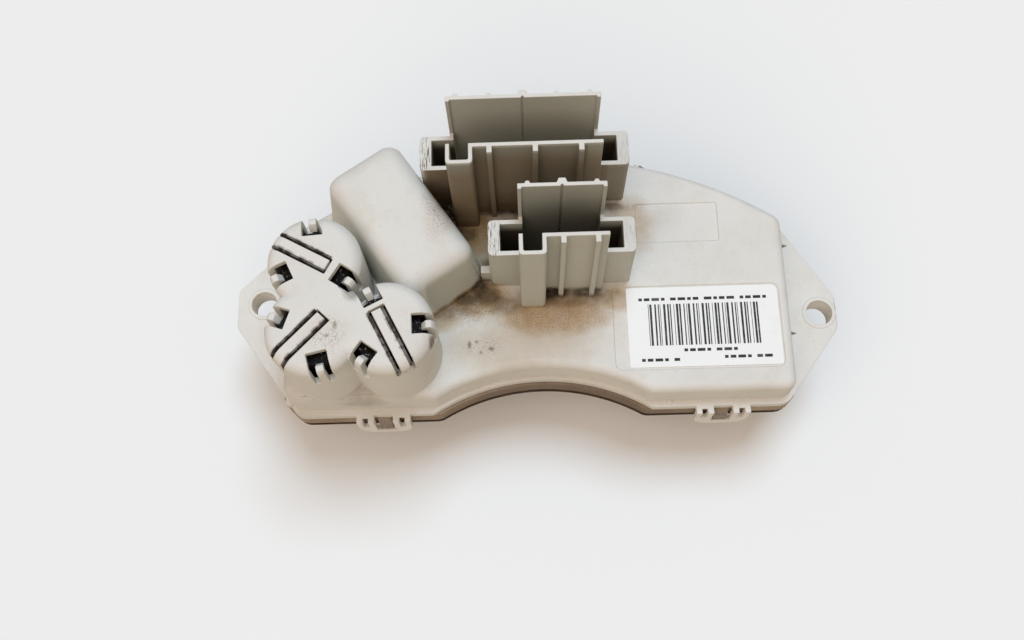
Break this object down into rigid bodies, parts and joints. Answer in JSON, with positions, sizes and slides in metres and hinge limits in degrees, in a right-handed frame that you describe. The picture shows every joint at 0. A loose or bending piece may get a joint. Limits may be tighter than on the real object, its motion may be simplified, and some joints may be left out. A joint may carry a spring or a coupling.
{
  "type": "blower motor resistor",
  "caption": "Electronic blower motor resistor: grey moulded cover with two plug sockets, capacitor domes and a choke box, clipped over a finned heat sink with two screw ears.",
  "frame": {"origin": "on the axis of the left ear hole, in the plane on which the ears seat", "axes": "+Z out of the plug sockets, +X along the cover from the left ear towards the right ear, +Y from the hollow front towards the round back"},
  "size_m": [0.1551, 0.0721, 0.0766],
  "materials": {
    "moulding": "matt glass-filled nylon",
    "label_film": "satin printed film",
    "cast_aluminium": "as cast",
    "seal_rubber": "matt",
    "board_laminate": "solder mask",
    "can_aluminium": "drawn",
    "sleeve_film": "shrunk film",
    "bung_rubber": "matt",
    "tinned_brass": "tin plated",
    "plated_steel": "zinc plated",
    "ferrite": "matt sintered",
    "enamelled_copper": "enamelled",
    "black_plastic": "matt",
    "package_epoxy": "moulded epoxy",
    "silicone_pad": "matt",
    "ceramic": "fired"
  },
  "bodies": {
    "root": {"cover": "moulding", "label": "label_film", "heat_sink": "cast_aluminium", "housing_seal": "seal_rubber", "circuit_board": "board_laminate", "board_screws": "plated_steel", "capacitor_can_1": "can_aluminium", "capacitor_can_2": "can_aluminium", "capacitor_can_3": "can_aluminium", "capacitor_sleeve_1": "sleeve_film", "capacitor_sleeve_2": "sleeve_film", "capacitor_sleeve_3": "sleeve_film", "capacitor_bung_1": "bung_rubber", "capacitor_bung_2": "bung_rubber", "capacitor_bung_3": "bung_rubber", "capacitor_leads": "tinned_brass", "choke_core": "ferrite", "choke_winding": "enamelled_copper", "choke_cradle": "black_plastic", "transistor_1": "package_epoxy", "transistor_2": "package_epoxy", "freewheel_diode": "package_epoxy", "thermal_pad": "silicone_pad", "transistor_clamp": "plated_steel", "clamp_screws": "plated_steel", "battery_plus_busbar": "tinned_brass", "battery_minus_busbar": "tinned_brass", "motor_plus_busbar": "tinned_brass", "motor_minus_busbar": "tinned_brass", "signal_pins": "tinned_brass", "shunt_resistor": "enamelled_copper", "control_chip": "package_epoxy", "chip_parts": "ceramic"}
  },
  "joints": []
}
